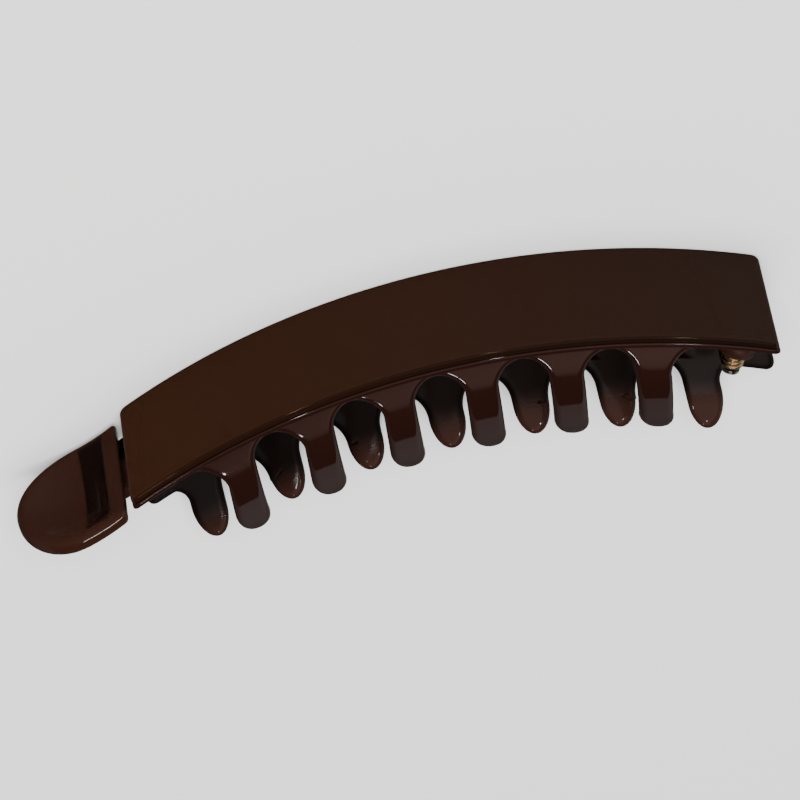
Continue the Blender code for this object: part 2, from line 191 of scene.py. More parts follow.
class CombSizes(bpy.types.PropertyGroup):
    """Teeth of the front comb and of the rear comb."""

    front_count: how_many("Front teeth", "Teeth of the front comb", 6)
    front_first: length("First front tooth", "Place of the first front tooth's tip along the clip", -0.0383)
    front_pitch: length("Front pitch", "Distance between front teeth", 0.01445)
    front_tip: length("Front half width", "Half the width of a front tooth where its tip starts", 0.003)
    front_taper: length("Front taper", "Length of a front tooth's tapered tip", 0.0075)
    front_arch: length("Front arch radius", "Radius of the round top between front teeth", 0.0044)
    front_depth: length("Front arch depth", "Depth of the round tops between front teeth", 0.0042)
    front_arch_first: length("First round top", "Place of the first round top along the clip", -0.045)
    front_arch_pitch: length("Round top pitch", "Distance between the round tops", 0.01462)
    front_end: length("Front wall end", "Half length of the front wall at its root", 0.0474)
    rear_count: how_many("Rear teeth", "Teeth of the rear comb", 7)
    rear_first: length("First rear tooth", "Place of the first rear tooth's tip along the clip", -0.0467)
    rear_pitch: length("Rear pitch", "Distance between rear teeth", 0.0149)
    rear_tip: length("Rear half width", "Half the width of a rear tooth where its tip starts", 0.0032)
    rear_taper: length("Rear taper", "Length of a rear tooth's tapered tip", 0.0042)
    rear_top: length("Rear top", "Depth of the rear wall's top edge", 0.0032)
    bar_depth: length("Rear bar depth", "Depth of the closed rear wall's lower edge", 0.0218)
    bar_slope: number("Rear bar slope", "How much deeper the rear bar lies towards the hinge", 0.023)
    rear_left: length("Rear wall start", "Lever end of the rear wall", -0.0573)
    rear_right: length("Rear wall end", "Hinge end of the rear wall", 0.056)
    fillet: length("End fillet", "Radius beside the outer rear teeth", 0.002)
    ledge_inner: length("Ledge inner edge", "Inner edge of the ledge along the rear wall's top", 0.005)
    ledge_outer: length("Ledge outer edge", "Outer edge of the ledge", 0.011)
    ledge_thick: length("Ledge thickness", "Thickness of the ledge", 0.002)


class LeverSizes(bpy.types.PropertyGroup):
    """The scooped thumb lever and its neck."""

    root_gap: length("Root gap", "Gap between the plate's end and the lever", 0.0013)
    half_width: length("Half width", "Half the width of the lever", 0.0121)
    rim_start: length("Rim start", "Rise of the rim beside the plate", -0.0019)
    rim_end: length("Rim end", "Rise of the rim at the round end", -0.0074)
    rim_power: number("Rim curve", "How soon the rim levels out", 2.2)
    thick: length("Thickness", "Height of the lever's side", 0.0032)
    scoop_rim: length("Rim width", "Width of the rim round the scoop", 0.0021)
    root_wall: length("Root wall", "Wall between the scoop and the plate's end", 0.003)
    rim_round: length("Rim rounding", "Rounding of the rim's outer edge", 0.0013)
    low_round: length("Lower rounding", "Rounding of the lever's lower edge", 0.0012)
    scoop_depth: length("Scoop depth", "Depth of the scoop below its rim", 0.0026)
    scoop_shift: length("Scoop shift", "How far the scoop's deepest point lies towards the plate", 0.0025)
    neck_front: length("Neck front", "Front side of the neck under the strip, from the mid plane", -0.004)
    neck_rear: length("Neck rear", "Rear side of the neck under the strip, from the mid plane", 0.0095)
    neck_end: length("Neck end", "Inner end of the neck", -0.048)
    neck_thick: length("Neck thickness", "Thickness of the neck", 0.0028)


class HingeSizes(bpy.types.PropertyGroup):
    """The lug and the coil on the hinge pin, measured down from the plate's top along the pin."""

    lug_radius: length("Lug radius", "Radius of the lug's round front", 0.0033)
    lug_top: length("Lug top", "Depth of the lug's top face", 0.002896)
    lug_thick: length("Lug thickness", "Thickness of the lug", 0.0065)
    lug_back: length("Lug length", "From the pin back into the rear wall", 0.013)
    wire: length("Wire", "Diameter of the spring's wire", 0.00086)
    coil_radius: length("Coil radius", "From the pin's axis to the middle of the wire", 0.0016)
    coil_top: length("Coil top", "Depth of the first turn's middle", 0.010126)
    leg: length("Leg", "Length of the spring's straight ends", 0.0045)
    turns: number("Turns", "Turns of the coil", 2.5)


class Finishes(bpy.types.PropertyGroup):
    """Colours of the polished plastic and of the metal."""

    plate: colour("Plate", "Chocolate brown of the cover plate", (0.0290, 0.0112, 0.0056))
    # Painted light: the plate's colour at the hinge end, darker and greyer than at the lever end, where
    # warmer light falls.
    plate_far_painted_light: colour("Plate, hinge end", "Brown of the plate at the hinge end", (0.0170, 0.0093, 0.0068))
    jaw: colour("Front jaw", "Burgundy brown of the front comb", (0.0140, 0.0046, 0.0034))
    # Painted highlight: the rear jaw's burgundy is made lighter than the front jaw's to stand in for the
    # sheen and highlights on the rear tips.
    rear: colour("Rear jaw", "Burgundy brown of the rear comb's tips", (0.0260, 0.0105, 0.0078))
    lever: colour("Lever", "Brown of the thumb lever", (0.0245, 0.0090, 0.0055))
    gold: colour("Gold", "Gold of the torsion spring", (0.95, 0.78, 0.46))
    steel: colour("Steel", "Steel of the hinge pin", (0.45, 0.43, 0.40))
    floor: colour("Floor", "Pale floor", (0.94, 0.94, 0.935))


class StageSizes(bpy.types.PropertyGroup):
    """The camera's place round the clip, in the clip's own terms."""

    azimuth: angle("Azimuth", "Camera's turn about the clip's height", 4.022)
    elevation: angle("Elevation", "Camera's height over the plate's chord plane", 40.0)
    roll: angle("Roll", "Turn of the picture", 16.201)
    distance: length("Distance", "From the camera to the plate's chord", 1.2034)
    pixels: number("Focal length", "In pixels of the square picture", 6938.6)
    aim_right: length("Aim right", "The picture's centre, to the right of the chord's middle", -0.00869)
    aim_up: length("Aim up", "The picture's centre, above the chord's middle", -0.00153)


# Shape in the clip's own terms

def settings(name):
    """One group of the clip's sizes or colours, as kept in the scene."""
    return getattr(bpy.context.scene, "clip_" + name)


def arch(x):
    """Rise of the plate's top: a circle's height over the chord that cuts it at both plate ends."""
    radius = settings("cover").arch_radius
    return np.sqrt(radius ** 2 - np.square(x)) - np.sqrt(radius ** 2 - (CHORD / 2) ** 2)


def place(x, rise, across):
    """Points of the clip in the file's frame: rise is +Y and the rear edge lies lowest."""
    x, rise, across = np.broadcast_arrays(x, rise, across)
    top = PLATE_HIGH.y - float(arch(0.0))
    return np.stack([x + MIDDLE_X, rise + top, MIDDLE_Z - across], axis=-1)


def wall_middle(depth, side):
    """Distance of a comb's middle from the mid plane: a parabola down to the belly, then a power curve in.

    The side is -1 for the front comb and 1 for the rear comb.
    """
    sizes = settings("wall")
    tips = sizes.front_tips if side < 0 else sizes.rear_tips
    belly = WIDTH / 2 - sizes.half_thick
    above = (sizes.belly_depth - depth) / (sizes.belly_depth - settings("cover").strip_bottom)
    below = np.maximum(depth - sizes.belly_depth, 0.0) / (tips - sizes.belly_depth)
    root = belly - sizes.root_in * np.square(above)
    curl = belly - (belly - sizes.tip_across) * below ** sizes.curl_power
    return np.where(depth <= sizes.belly_depth, root, curl)


def on_wall(x, rise, off, side):
    """A point off the comb's middle surface: along its normal, square to the curve of wall_middle."""
    depth = arch(x) - rise
    step = 0.00005
    slope = (wall_middle(depth + step, side) - wall_middle(depth - step, side)) / (2 * step)
    stretch = np.sqrt(1.0 + np.square(slope))
    return place(x, rise + slope * off / stretch, side * (wall_middle(depth, side) + off / stretch))


# Meshes from arrays

class Shell:
    """Points and faces of one piece, gathered from several grids."""

    def __init__(self):
        self.points = []
        self.faces = []
        self.count = 0

    def grid(self, points, closed):
        """Join a grid of rows by columns with four-sided faces; closed wraps each row round."""
        rows, columns = points.shape[:2]
        index = self.count + np.arange(rows * columns).reshape(rows, columns)
        after = np.roll(index, -1, axis=1)
        if not closed:
            index = index[:, :-1]
            after = after[:, :-1]
        quads = np.stack([index[:-1], after[:-1], after[1:], index[1:]], axis=-1)
        self.faces.append(quads.reshape(-1, 4))
        self.points.append(points.reshape(-1, 3))
        self.count += rows * columns

    def loft(self, rings):
        """Closed rings joined along a path; each end is closed by rungs between its two sides."""
        self.grid(rings, True)
        columns = rings.shape[1]
        half = columns // 2
        first = np.arange(half - 1)
        rungs = np.stack([first, columns - 1 - first, columns - 2 - first, first + 1], axis=-1)
        start = self.count - rings.shape[0] * columns
        self.faces.append(rungs + start)
        self.faces.append(rungs + self.count - columns)

    def mesh(self, name):
        """One mesh with merged seams, no slivers, and all faces pointing out."""
        points = np.concatenate(self.points)
        faces = np.concatenate(self.faces)
        mesh = bpy.data.meshes.new(name)
        mesh.from_pydata(points.tolist(), [], faces.tolist())
        work = bmesh.new()
        work.from_mesh(mesh)
        bmesh.ops.remove_doubles(work, verts=work.verts, dist=MERGE)
        bmesh.ops.dissolve_degenerate(work, edges=work.edges, dist=MERGE)
        bmesh.ops.recalc_face_normals(work, faces=work.faces)
        for face in work.faces:
            face.smooth = True
        work.to_mesh(mesh)
        work.free()
        return mesh


def new_object(name, data):
    """An object in the scene for a mesh, a light or a camera."""
    item = bpy.data.objects.new(name, data)
    bpy.context.scene.collection.objects.link(item)
    return item


def add_piece(name, shell, material, body, node):
    """Make a finished piece, give it its finish and body, and let it stand for its CAD node."""
    mesh = shell.mesh(name)
    mesh.materials.append(material)
    piece = new_object(name, mesh)
    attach(piece, body)
    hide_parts(node)


def quarter(count):
    """Angles of a quarter turn, from 0 to a right angle."""
    return np.linspace(0.0, pi / 2, count)


def rounded_box(low_a, high_a, low_b, high_b, radius, corner=6, support=0.04):
    """Ring of a rectangle with round corners, four quarter circles joined by straight sides.

    The bounds may be arrays, one for each ring. Each side has a point close to both its corners, which
    keeps its shading flat.
    """
    low_a, high_a, low_b, high_b, radius = [
        np.atleast_1d(value)[:, None] for value in np.broadcast_arrays(low_a, high_a, low_b, high_b, radius)
    ]
    turn = quarter(corner)[None, :]
    corners = ((high_a, high_b, 1, 1, turn), (low_a, high_b, -1, 1, turn[:, ::-1]),
               (low_a, low_b, -1, -1, turn), (high_a, low_b, 1, -1, turn[:, ::-1]))
    arcs = [np.stack([a - sign_a * radius + sign_a * radius * np.cos(angles),
                      b - sign_b * radius + sign_b * radius * np.sin(angles)])
            for a, b, sign_a, sign_b, angles in corners]
    ring = []
    for arc, after in zip(arcs, arcs[1:] + arcs[:1]):
        ring.append(arc)
        for share in (support, 1.0 - support):
            ring.append((1 - share) * arc[..., -1:] + share * after[..., :1])
    return np.concatenate(ring, axis=-1)


def eased_ends(low, high, radius, count, corner=7):
    """Stations from low to high, closer in the last radius at both ends, and each one's inset.

    The inset is that of a quarter circle: radius less the root of radius squared less its distance in
    from the end's centre squared.
    """
    turn = quarter(corner)
    near = low + radius * (1 - np.cos(turn))
    inset = radius * (1 - np.sin(turn))
    middle = np.linspace(low + radius, high - radius, count)[1:-1]
    stations = np.concatenate([near, middle, (low + high - near)[::-1]])
    insets = np.concatenate([inset, np.zeros_like(middle), inset[::-1]])
    return stations, insets


def arched_bar(shell, low_x, high_x, top, bottom, low_across, high_across, radius, corner_round, count=120):
    """A bar that follows the arch: a rounded rectangle of depth and across, carried along x."""
    x, inset = eased_ends(low_x, high_x, corner_round, count)
    thin = inset * min(radius / corner_round, 1.0)
    depth, across = rounded_box(top + thin, bottom - thin, low_across + inset, high_across - inset,
                                np.maximum(radius - thin, radius * 0.02))
    shell.loft(place(x[:, None], arch(x)[:, None] - depth, across))


# The combs

def comb_ribs(left, right, tip, half, arch_steps=14, side_steps=10, tip_steps=12):
    """Both ends of each rib of a tooth, with the outline's outward direction there.

    left and right are the (x, depth, radius) of the round tops beside the tooth, tip its tip's
    (x, depth, half width, length). A rib's ends lie half a thickness inside the outline: on a circle
    round each round top's centre, then on a straight line, then on half an ellipse down to the tip.
    """
    ends = []
    for (centre, depth, radius), sign in ((left, 1.0), (right, -1.0)):
        turn = quarter(arch_steps)
        rise = float(arch(centre)) - depth - radius
        round_x = centre + sign * (radius + half) * np.sin(turn)
        round_rise = rise + (radius + half) * np.cos(turn)
        cosine, sine = np.cos(quarter(tip_steps)), np.sin(quarter(tip_steps))
        wide, long = tip[2] - half, tip[3] - half
        tip_x = tip[0] - sign * wide * cosine
        tip_y = float(arch(tip[0])) - tip[1] + tip[3] - long * sine
        size = np.hypot(long * cosine, wide * sine)
        share = np.linspace(0.0, 1.0, side_steps)[1:-1]
        side_x = round_x[-1] + share * (tip_x[0] - round_x[-1])
        side_y = round_rise[-1] + share * (tip_y[0] - round_rise[-1])
        out_x = -sign * np.concatenate([np.sin(turn), np.ones_like(share), long * cosine / size])
        out_y = -np.concatenate([np.cos(turn), np.zeros_like(share), wide * sine / size])
        x = np.concatenate([round_x, side_x, tip_x])
        y = np.concatenate([round_rise, side_y, tip_y])
        ends.append((np.stack([x, y], -1), np.stack([out_x, out_y], -1)))
    return ends


def add_tooth(shell, left, right, tip, side, root_depth, half, across_steps=14, rim_steps=9, root_steps=3):
    """A tooth as rings round its ribs, and the wall above it up to the comb's root."""
    (start, start_out), (end, end_out) = comb_ribs(left, right, tip, half)
    share = np.linspace(0.0, 1.0, across_steps)[None, :, None]
    turn = np.linspace(0.0, pi, rim_steps)[1:-1][None, :, None]
    flat = start[:, None] + (end - start)[:, None] * share
    end_rim = end[:, None] + end_out[:, None] * half * np.sin(turn)
    start_rim = start[:, None] + start_out[:, None] * half * np.sin(turn)
    ring = np.concatenate([flat, end_rim, flat[:, ::-1], start_rim], axis=1)
    level = np.full((1, across_steps), half)
    rim_off = half * np.cos(turn[:, :, 0])
    off = np.concatenate([level, rim_off, -level, -rim_off], axis=1)
    shell.grid(on_wall(ring[..., 0], ring[..., 1], off, side), True)
    x = flat[0, :, 0]
    low = flat[0, :, 1]
    high = arch(x) - root_depth
    rise = high + (low - high) * np.linspace(0.0, 1.0, root_steps)[:, None]
    shell.grid(on_wall(x[None], rise, half, side), False)
    shell.grid(on_wall(x[None], rise, -half, side), False)
    shell.grid(on_wall(x[None], high[None], np.array([[half], [-half]]), side), False)


def add_wall_end(shell, x, edge, side, root_depth, half, root_steps=3, rim_steps=9):
    """The wall beyond the last tooth: rings of depth for each x, with a round lower edge.

    half may be an array that thins the wall's last ribs to a round end.
    """
    half = np.broadcast_to(half, x.shape)
    low = arch(x) - edge + half
    high = arch(x) - root_depth
    share = np.linspace(0.0, 1.0, root_steps)[None, :]
    rise = high[:, None] + (low - high)[:, None] * share
    turn = np.linspace(0.0, pi, rim_steps)[1:-1][None, :]
    rim = low[:, None] - half[:, None] * np.sin(turn)
    ring = np.concatenate([rise, rim, rise[:, ::-1]], axis=1)
    level = np.broadcast_to(half[:, None], rise.shape)
    off = np.concatenate([level, half[:, None] * np.cos(turn), -level], axis=1)
    points = on_wall(x[:, None], ring, off, side)
    shell.grid(points, False)
    shell.grid(np.stack([points[:, 0], points[:, -1]]), False)
    last = points[-1]
    count = (len(last) + 1) // 2
    shell.grid(np.stack([last[:count], last[::-1][:count]]), False)


def front_comb(shell):
    """The front wall: a tooth between each two round tops, and an eased shoulder at both ends."""
    sizes = settings("comb")
    wall = settings("wall")
    root = settings("cover").strip_bottom - ROOT_OVERLAP
    tops = [(sizes.front_arch_first + index * sizes.front_arch_pitch, sizes.front_depth, sizes.front_arch)
            for index in range(sizes.front_count + 1)]
    for index in range(sizes.front_count):
        x = sizes.front_first + index * sizes.front_pitch
        tip = (x, wall.front_tips + wall.tip_slope * x, sizes.front_tip, sizes.front_taper)
        add_tooth(shell, tops[index], tops[index + 1], tip, -1.0, root, wall.half_thick)
    for start, end in ((tops[0][0], -sizes.front_end), (tops[-1][0], sizes.front_end)):
        share = np.linspace(0.0, 1.0, 16)
        edge = sizes.front_depth + (root + wall.half_thick - sizes.front_depth) * share ** 2
        add_wall_end(shell, start + (end - start) * share, edge, -1.0, root, wall.half_thick)


def bar_depth(x):
    """Depth of the closed rear wall's lower edge: its depth at the clip's middle and an even slope."""
    sizes = settings("comb")
    return sizes.bar_depth + sizes.bar_slope * x


def rear_comb(shell):
    """The rear wall: closed down to its bar, with short teeth and a round-cornered end at both ends."""
    sizes = settings("comb")
    wall = settings("wall")
    count = sizes.rear_count
    first = sizes.rear_first
    last = first + (count - 1) * sizes.rear_pitch
    spread = sizes.rear_tip + sizes.fillet
    radius = sizes.rear_pitch / 2 - sizes.rear_tip
    xs = [first - spread]
    xs += [first + (index + 0.5) * sizes.rear_pitch for index in range(count - 1)]
    xs.append(last + spread)
    radii = [sizes.fillet] + [radius] * (count - 1) + [sizes.fillet]
    tops = [(x, bar_depth(x), size) for x, size in zip(xs, radii)]
    for index in range(count):
        x = first + index * sizes.rear_pitch
        tip = (x, wall.rear_tips + wall.tip_slope * x, sizes.rear_tip, sizes.rear_taper)
        add_tooth(shell, tops[index], tops[index + 1], tip, 1.0, sizes.rear_top, wall.half_thick,
                  root_steps=16)
    for start, end in ((xs[0], sizes.rear_left), (xs[-1], sizes.rear_right)):
        sign = np.sign(end - start)
        corner = sizes.fillet
        turn = quarter(12)
        straight = np.linspace(start, end - sign * corner, 8)[:-1]
        x = np.concatenate([straight, end - sign * corner * (1 - np.sin(turn))])
        inset = np.maximum(sign * (x - (end - sign * corner)), 0.0) / corner
        edge = bar_depth(x) - corner * (1 - np.sqrt(np.maximum(1 - inset ** 2, 0.0)))
        near = np.maximum(sign * (x - (end - sign * wall.half_thick)), 0.0) / wall.half_thick
        half = wall.half_thick * np.sqrt(np.maximum(1 - near ** 2, THIN_END))
        add_wall_end(shell, x, edge, 1.0, sizes.rear_top, half, root_steps=16)


# The lever

def lever_rim(x):
    """Rise of the lever's rim: it falls from the plate's end by a power curve and levels out."""
    sizes = settings("lever")
    root = -CHORD / 2 - sizes.root_gap
    share = np.clip((root - x) / (root - LEVER_TIP), 0.0, 1.0)
    return sizes.rim_end + (sizes.rim_start - sizes.rim_end) * (1.0 - share) ** sizes.rim_power


def lever_outline(inset, root_inset, steps=64):
    """Plan of the lever: a half circle at the tip and straight sides to a round-cornered root."""
    sizes = settings("lever")
    half = sizes.half_width - inset
    centre = LEVER_TIP + sizes.half_width
    root = -CHORD / 2 - sizes.root_gap - root_inset
    small = max(ROOT_CORNER - inset, LEAST_CORNER)
    end = np.linspace(pi / 2, 3 * pi / 2, steps)
    side = np.linspace(0.0, 1.0, 12)[1:-1]
    turn = quarter(10)
    straight = centre + (root - small - centre) * side
    x = [centre + half * np.cos(end), straight, root - small + small * np.sin(turn)]
    y = [half * np.sin(end), np.full_like(side, -half), -half + small * (1 - np.cos(turn))]
    inner = half - small
    back = np.linspace(-inner, inner, 24)[1:-1]
    x += [np.full_like(back, root), x[2][::-1], x[1][::-1]]
    y += [back, -y[2][::-1], -y[1][::-1]]
    return np.concatenate(x), np.concatenate(y)


def lever(shell):
    """The lever as rings about its scoop: a bowl, a rounded rim, the side and the underside."""
    sizes = settings("lever")
    rim_x, rim_y = lever_outline(sizes.scoop_rim, sizes.root_wall)
    middle = (rim_x.min() + rim_x.max()) / 2
    rings = []

    def ring(x, y, height):
        rings.append(place(x, lever_rim(x) + height, y))

    for share in np.linspace(0.0, 1.0, 30)[:-1]:
        bowl = sizes.scoop_depth * (1.0 - share ** SCOOP_POWER)
        deepest = middle + sizes.scoop_shift * (1.0 - share ** 2)
        ring(deepest + (rim_x - middle) * share, rim_y * share, -bowl)
    round_top = sizes.rim_round
    round_low = sizes.low_round
    for inset in np.linspace(sizes.scoop_rim, round_top, 8):
        share = (inset - round_top) / (sizes.scoop_rim - round_top)
        root = round_top + (sizes.root_wall - round_top) * share
        ring(*lever_outline(inset, root), RIM_LIP * sin(pi * (1.0 - share) / 2))
    for turn in quarter(8)[1:]:
        inset = round_top * (1 - sin(turn))
        ring(*lever_outline(inset, inset), RIM_LIP - round_top * (1 - cos(turn)))
    for turn in quarter(10):
        inset = round_low * (1 - cos(turn))
        ring(*lever_outline(inset, inset * ROOT_SHARE), -sizes.thick + round_low * (1 - sin(turn)))
    low_x, low_y = lever_outline(round_low, round_low * ROOT_SHARE)
    for share in np.linspace(1.0, 0.0, 12)[1:]:
        ring(middle + (low_x - middle) * share, low_y * share, -sizes.thick)
    shell.grid(np.stack(rings), True)


def neck(shell):
    """The neck under the strip: a rounded bar from inside the lever's root to the rear wall."""
    sizes = settings("lever")
    top = settings("comb").rear_top
    start = -CHORD / 2 - sizes.root_gap - NECK_OVERLAP
    arched_bar(shell, start, sizes.neck_end, top, top + sizes.neck_thick, sizes.neck_front, sizes.neck_rear,
               radius=0.0008, corner_round=0.0012, count=16)


# The hinge

def on_hinge(points):
    """Points of the pin's frame, whose Y runs up the pin from the plate's top, in the file's frame."""
    axis = Vector(HINGE["axis"]).normalized()
    along = axis.cross(Vector((0.0, 0.0, 1.0)))
    return points @ np.array([along, axis, (0.0, 0.0, 1.0)]) + np.array(Vector(HINGE["pos_m"]))


def lug(shell):
    """The lug: a stadium in plan, from round front to straight back, with rounded rims."""
    sizes = settings("hinge")
    round_edge = 0.0005
    turn = quarter(6)
    near = round_edge * (1 - np.sin(turn))
    depth = np.concatenate([near, sizes.lug_thick - near[::-1]])
    inset = np.concatenate([round_edge * (1 - np.cos(turn)), round_edge * (1 - np.cos(turn[::-1]))])
    front = np.linspace(0.0, pi, 41)
    radius = sizes.lug_radius - inset[:, None]
    back = np.full((len(depth), 1), -sizes.lug_back)
    x = np.concatenate([radius * np.cos(front), -radius, radius], axis=1)
    z = np.concatenate([radius * np.sin(front), back, back], axis=1)
    level = -(sizes.lug_top + depth)[:, None] + np.zeros_like(x)
    rings = on_hinge(np.stack([x, level, z], axis=-1))
    shell.grid(rings, True)
    for end in (rings[0], rings[-1]):
        centre = np.repeat(end.mean(axis=0)[None], len(end), axis=0)
        shell.grid(np.stack([end, centre]), True)


def spring_path():
    """A helix about the pin, with a straight leg back into the rear jaw at both ends."""
    sizes = settings("hinge")
    pitch = sizes.wire * COIL_SPACE
    turn = np.linspace(0.0, 2 * pi * sizes.turns, int(TURN_STEPS * sizes.turns))
    level = -sizes.coil_top - pitch * turn / (2 * pi)
    coil = np.stack([sizes.coil_radius * np.cos(turn), level, sizes.coil_radius * np.sin(turn)], axis=-1)
    leg = np.linspace(1.0, 0.0, 12)[:-1, None] * np.array([0.0, 0.0, -sizes.leg])
    return np.concatenate([coil[0] + leg, coil, coil[-1] + leg[::-1]])


def tube(shell, path, radius, sides=18):
    """A round wire: circles square to the path, turned with it, with domed ends."""
    run = np.gradient(path, axis=0)
    run /= np.linalg.norm(run, axis=1)[:, None]
    up = np.array([0.0, 1.0, 0.0]) - run * run[:, 1:2]
    up /= np.linalg.norm(up, axis=1)[:, None]
    side = np.cross(run, up)
    turn = np.linspace(0.0, 2 * pi, sides, endpoint=False)
    circle = up[:, None] * np.cos(turn)[None, :, None] + side[:, None] * np.sin(turn)[None, :, None]
    dome = quarter(5)[:-1]
    start = path[0] - run[0] * radius * np.cos(dome)[:, None]
    end = path[-1] + run[-1] * radius * np.cos(dome[::-1])[:, None]
    rings = [start[:, None] + circle[0][None] * radius * np.sin(dome)[:, None, None]]
    rings.append(path[:, None] + circle * radius)
    rings.append(end[:, None] + circle[-1][None] * radius * np.sin(dome[::-1])[:, None, None])
    shell.grid(on_hinge(np.concatenate(rings)), True)


# Finishes

def new_node(tree, kind, sockets=(), **options):
    """Add a node: options are its own settings, and each socket takes a value or another node's output."""
    node = tree.nodes.new("ShaderNode" + kind)
    for name, value in options.items():
        setattr(node, name, value)
    for name, value in dict(sockets).items():
        if isinstance(value, bpy.types.NodeSocket):
            tree.links.new(value, node.inputs[name])
        else:
            node.inputs[name].default_value = value
    return node


def effect_group(name, taken, given):
    """An empty node group with named inputs, each with its default, and named outputs."""
    group = bpy.data.node_groups.new(name, "ShaderNodeTree")
    for label, kind, default in taken:
        made = group.interface.new_socket(name=label, in_out="INPUT", socket_type="NodeSocket" + kind)
        made.default_value = default
    for label, kind in given:
        group.interface.new_socket(name=label, in_out="OUTPUT", socket_type="NodeSocket" + kind)
    return group, group.nodes.new("NodeGroupInput").outputs, group.nodes.new("NodeGroupOutput").inputs


def polish_group():
    """Handled polish: a faint drift of colour, hairlines that lift the roughness, soft waves."""
    group = bpy.data.node_groups.get("handled_polish")
    if group:
        return group
    group, given, wanted = effect_group("handled_polish", (
        ("Colour", "Color", (0.03, 0.01, 0.006, 1.0)),
        ("Drift", "Float", 0.15),
        ("Roughness", "Float", 0.06),
        ("Wear", "Float", 0.05),
    ), (("Colour", "Color"), ("Roughness", "Float"), ("Height", "Float")))
    spot = new_node(group, "TexCoord").outputs["Object"]

    drift = new_node(group, "TexNoise", {"Vector": spot, "Scale": DRIFT_SCALE, "Detail": DRIFT_DETAIL})
    centred = new_node(group, "Math", {0: drift.outputs["Fac"], 1: 0.5}, operation="SUBTRACT")
    amount = new_node(group, "Math", {
        0: centred.outputs[0], 1: given["Drift"], 2: 1.0,
    }, operation="MULTIPLY_ADD")
    tint = new_node(group, "VectorMath", {0: given["Colour"], "Scale": amount.outputs[0]}, operation="SCALE")
    group.links.new(tint.outputs[0], wanted["Colour"])

    stretch = new_node(group, "Mapping", {
        "Vector": spot, "Scale": HAIRLINE_STRETCH, "Rotation": HAIRLINE_TURN,
    })
    hairline = new_node(group, "TexNoise", {
        "Vector": stretch.outputs[0], "Scale": HAIRLINE_SCALE, "Detail": HAIRLINE_DETAIL,
    })
    sharp = new_node(group, "MapRange", {
        "Value": hairline.outputs["Fac"], "From Min": HAIRLINE_EDGES[0], "From Max": HAIRLINE_EDGES[1],
    })
    rough = new_node(group, "Math", {
        0: sharp.outputs[0], 1: given["Wear"], 2: given["Roughness"],
    }, operation="MULTIPLY_ADD")
    group.links.new(rough.outputs[0], wanted["Roughness"])

    waves = new_node(group, "TexNoise", {"Vector": spot, "Scale": WAVE_SCALE, "Detail": WAVE_DETAIL})
    group.links.new(waves.outputs["Fac"], wanted["Height"])
    return group


def painted_shade_group():
    """Painted shade: the colour is darkened in a smooth band along one direction, where light can't get in.

    The mask rises over the start's softness and falls over the end's, by the distance along Axis. It
    also falls away beyond Reach from Middle, and Underside is its share on faces that look down.
    """
    group = bpy.data.node_groups.get("painted_shade")
    if group:
        return group
    group, given, wanted = effect_group("painted_shade", (
        ("Colour", "Color", (0.03, 0.01, 0.006, 1.0)),
        ("Axis", "Vector", (0.0, 0.0, 1.0)),
        ("Start", "Float", 0.0),
        ("Start softness", "Float", 0.001),
        ("End", "Float", 1.0),
        ("End softness", "Float", 0.001),
        ("Depth", "Float", 0.2),
        ("Middle", "Float", 0.0),
        ("Reach", "Float", 1.0),
        ("Reach end", "Float", 1.1),
        ("Underside", "Float", 1.0),
    ), (("Colour", "Color"), ("Mask", "Float")))
    spot = new_node(group, "TexCoord").outputs
    along = new_node(group, "VectorMath", {0: spot["Object"], 1: given["Axis"]}, operation="DOT_PRODUCT")
    height = new_node(group, "SeparateXYZ", {0: spot["Object"]}).outputs["Z"]
    away = new_node(group, "Math", {0: height, 1: given["Middle"]}, operation="SUBTRACT")
    far = new_node(group, "Math", {0: away.outputs[0]}, operation="ABSOLUTE")
    ends = [
        new_node(group, "Math", {0: given[name], 1: given[name + " softness"]}, operation="ADD").outputs[0]
        for name in ("Start", "End")
    ]
    facing = new_node(group, "SeparateXYZ", {0: spot["Normal"]}).outputs["Y"]
    mask = new_node(group, "MapRange", {
        "Value": facing, "From Max": LEVEL_FACE, "To Min": given["Underside"],
    }).outputs["Result"]
    edges = (
        (along.outputs["Value"], given["Start"], ends[0], 0.0, 1.0),
        (along.outputs["Value"], given["End"], ends[1], 1.0, 0.0),
        (far.outputs[0], given["Reach"], given["Reach end"], 1.0, 0.0),
    )
    for value, start, end, low, high in edges:
        edge = new_node(group, "MapRange", {
            "Value": value, "From Min": start, "From Max": end, "To Min": low, "To Max": high,
        }, interpolation_type="SMOOTHSTEP")
        mask = new_node(group, "Math", {0: mask, 1: edge.outputs["Result"]}, operation="MULTIPLY").outputs[0]
    shaded_colour = new_node(group, "VectorMath", {0: given["Colour"], "Scale": given["Depth"]}, operation="SCALE")
    mix = new_node(group, "Mix", {
        "Factor": mask, "A": given["Colour"], "B": shaded_colour.outputs[0],
    }, data_type="RGBA")
    group.links.new(mix.outputs["Result"], wanted["Colour"])
    group.links.new(mask, wanted["Mask"])
    return group


def feed(shader, name):
    """What feeds one of the shader's sockets."""
    return shader.inputs[name].links[0].from_socket


